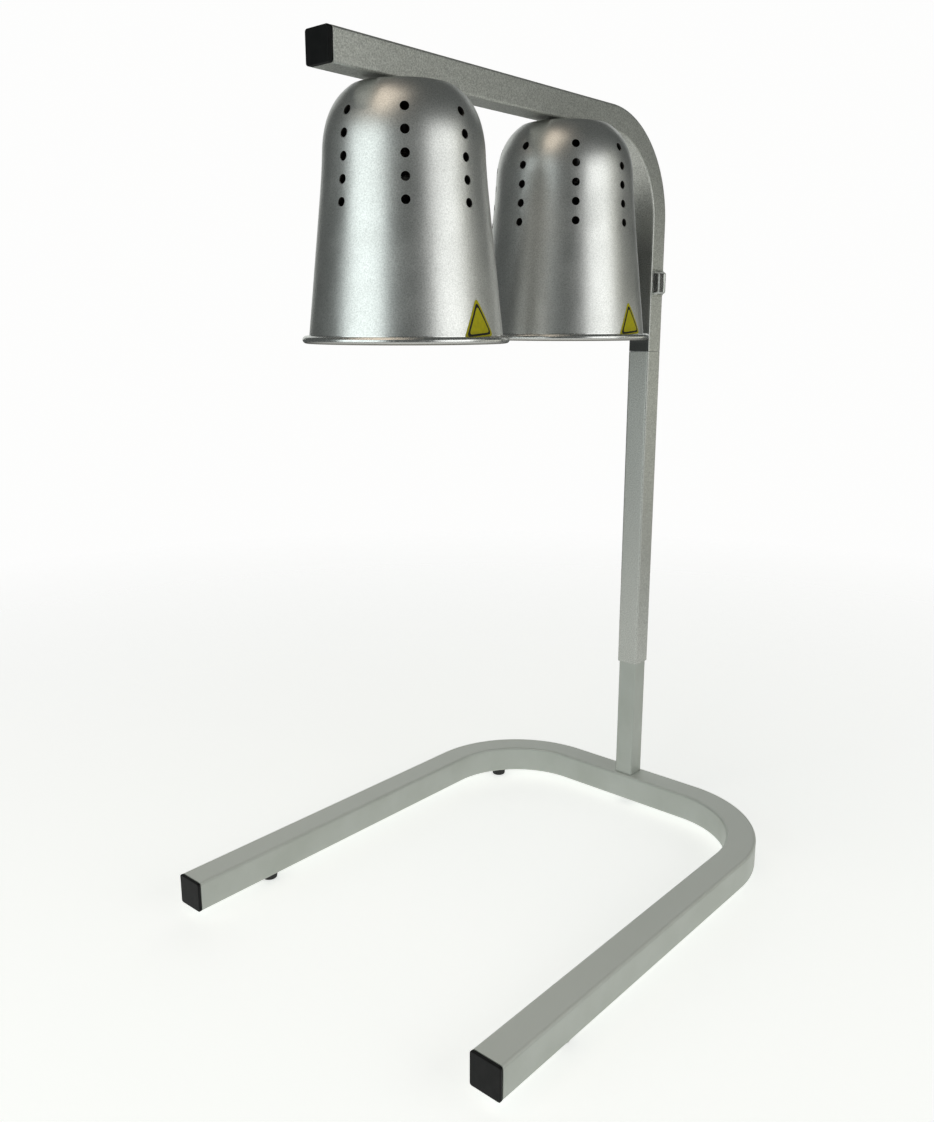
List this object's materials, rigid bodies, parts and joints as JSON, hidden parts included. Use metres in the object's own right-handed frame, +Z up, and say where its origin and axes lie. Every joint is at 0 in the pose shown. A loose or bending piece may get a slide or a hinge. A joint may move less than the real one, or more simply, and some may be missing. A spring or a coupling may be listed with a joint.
{
  "type": "heat lamp warmer",
  "caption": "Counter-top food warmer: U-shaped square-tube base, telescopic post and a cantilever arm carrying vented round lamp shades with reflector bulbs and a covered rocker switch.",
  "frame": {"origin": "on the table, under the middle of the outline seen from above", "axes": "+Z up along the post, -Y where the legs and the arm point, +X towards the side with the switch"},
  "size_m": [0.4026, 0.508, 0.7649],
  "materials": {
    "silver_paint": "satin",
    "spun_aluminium": "satin",
    "zinc": "satin",
    "brass": "satin",
    "black_rubber": "matte",
    "black_plastic": "satin",
    "clear_silicone": "satin",
    "porcelain": "satin",
    "lamp_glass": "gloss",
    "white_cable": "satin"
  },
  "bodies": {
    "stand": {"base_frame": "silver_paint", "leg_plug_left": "black_plastic", "leg_plug_right": "black_plastic", "foot_front_left": "black_rubber", "foot_front_right": "black_rubber", "foot_rear_left": "black_rubber", "foot_rear_right": "black_rubber", "foot_screw_front_left": "zinc", "foot_screw_front_right": "zinc", "foot_screw_rear_left": "zinc", "foot_screw_rear_right": "zinc", "inner_post": "zinc", "post_top_plug": "black_plastic", "post_thread_insert": "zinc", "post_bolt": "zinc", "post_bolt_washer": "zinc"},
    "head": {"column_tube": "silver_paint", "column_spigot": "zinc", "spigot_screw_lower": "zinc", "spigot_screw_upper": "zinc", "clamp_boss": "silver_paint", "cord_bushing": "black_rubber", "arm_tube": "silver_paint", "arm_end_plug": "black_plastic", "switch_housing": "black_plastic", "switch_terminal_upper": "brass", "switch_terminal_lower": "brass", "switch_cover": "clear_silicone", "shade_front": "spun_aluminium", "shade_rear": "spun_aluminium", "fibre_washer_front": "black_rubber", "fibre_washer_rear": "black_rubber", "lamp_nipple_front": "zinc", "lamp_nipple_rear": "zinc", "lamp_locknut_front": "zinc", "lamp_locknut_rear": "zinc", "lampholder_front": "porcelain", "lampholder_rear": "porcelain", "socket_shell_front": "brass", "socket_shell_rear": "brass", "socket_contact_front": "brass", "socket_contact_rear": "brass", "supply_cable": "white_cable", "lamp_cable": "white_cable"},
    "clamp": {"clamp_screw": "zinc"},
    "rocker": {"switch_rocker": "black_plastic"},
    "front_bulb": {"bulb_glass_front": "lamp_glass", "bulb_cap_front": "brass"},
    "rear_bulb": {"bulb_glass_rear": "lamp_glass", "bulb_cap_rear": "brass"}
  },
  "joints": [
    {"name": "column_slide", "type": "slide", "parent": "stand", "child": "head", "axis": [0, 0, 1], "range_m": [-0.138, 0.082]},
    {"name": "clamp_turn", "type": "hinge", "parent": "head", "child": "clamp", "pos_m": [0, 0.249, 0.1929], "axis": [0, 1, 0], "range_deg": [0, 270]},
    {"name": "rocker_tilt", "type": "hinge", "parent": "head", "child": "rocker", "pos_m": [0.009, 0.2325, 0.6012], "axis": [0, 1, 0], "range_deg": [0, 20]},
    {"name": "front_bulb_turn", "type": "hinge", "parent": "head", "child": "front_bulb", "pos_m": [0, -0.1349, 0.7085], "axis": [0, 0, -1], "range_deg": [0, 270]},
    {"name": "rear_bulb_turn", "type": "hinge", "parent": "head", "child": "rear_bulb", "pos_m": [0, 0.0787, 0.7085], "axis": [0, 0, -1], "range_deg": [0, 270]}
  ]
}
